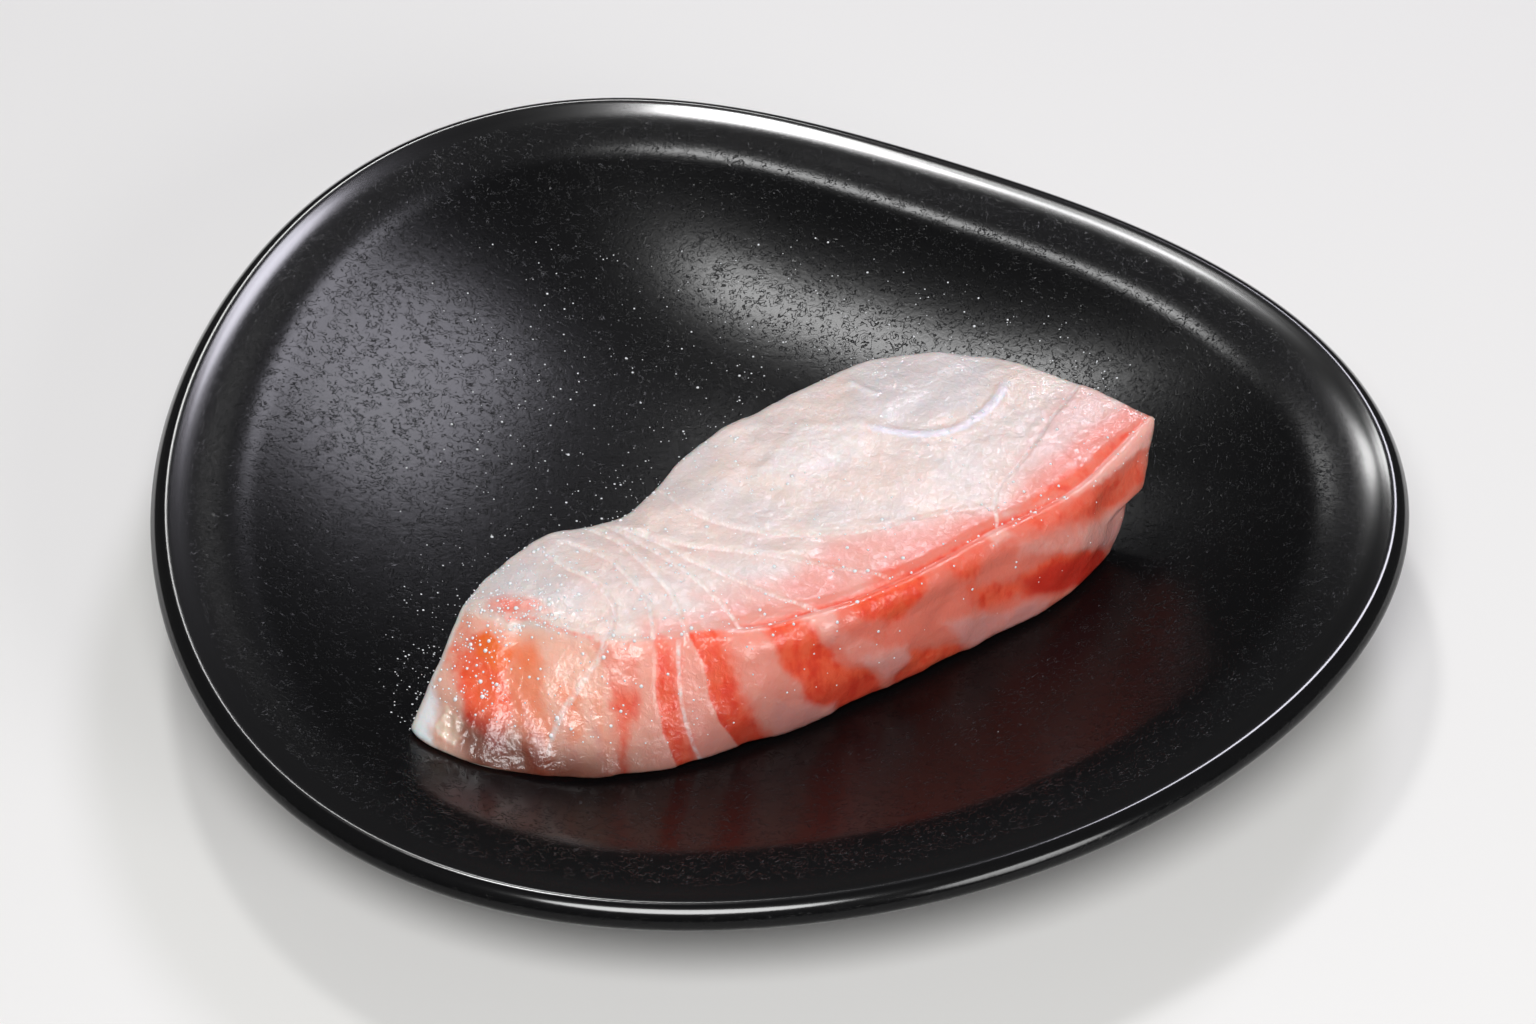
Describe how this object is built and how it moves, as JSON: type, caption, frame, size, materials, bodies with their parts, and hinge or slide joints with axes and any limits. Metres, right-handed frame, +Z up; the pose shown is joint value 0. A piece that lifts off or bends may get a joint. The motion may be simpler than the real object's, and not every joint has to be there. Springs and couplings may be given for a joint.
{
  "type": "sashimi plate",
  "caption": "Black satin-glazed pebble-shaped stoneware plate with a shallow bowl, raised lip and foot ring, holding a cut block of raw sea bream.",
  "frame": {"origin": "middle of the plate's plan, on the surface that its foot ring stands on", "axes": "+Z up, +Y away from the viewer of the picture, +X to the viewer's right; the height is the shortest extent"},
  "size_m": [0.2047, 0.1991, 0.0352],
  "materials": {
    "plate_glaze": "satin",
    "fish_flesh": "wet"
  },
  "bodies": {
    "root": {"plate": "plate_glaze", "fish_block": "fish_flesh"}
  },
  "joints": []
}
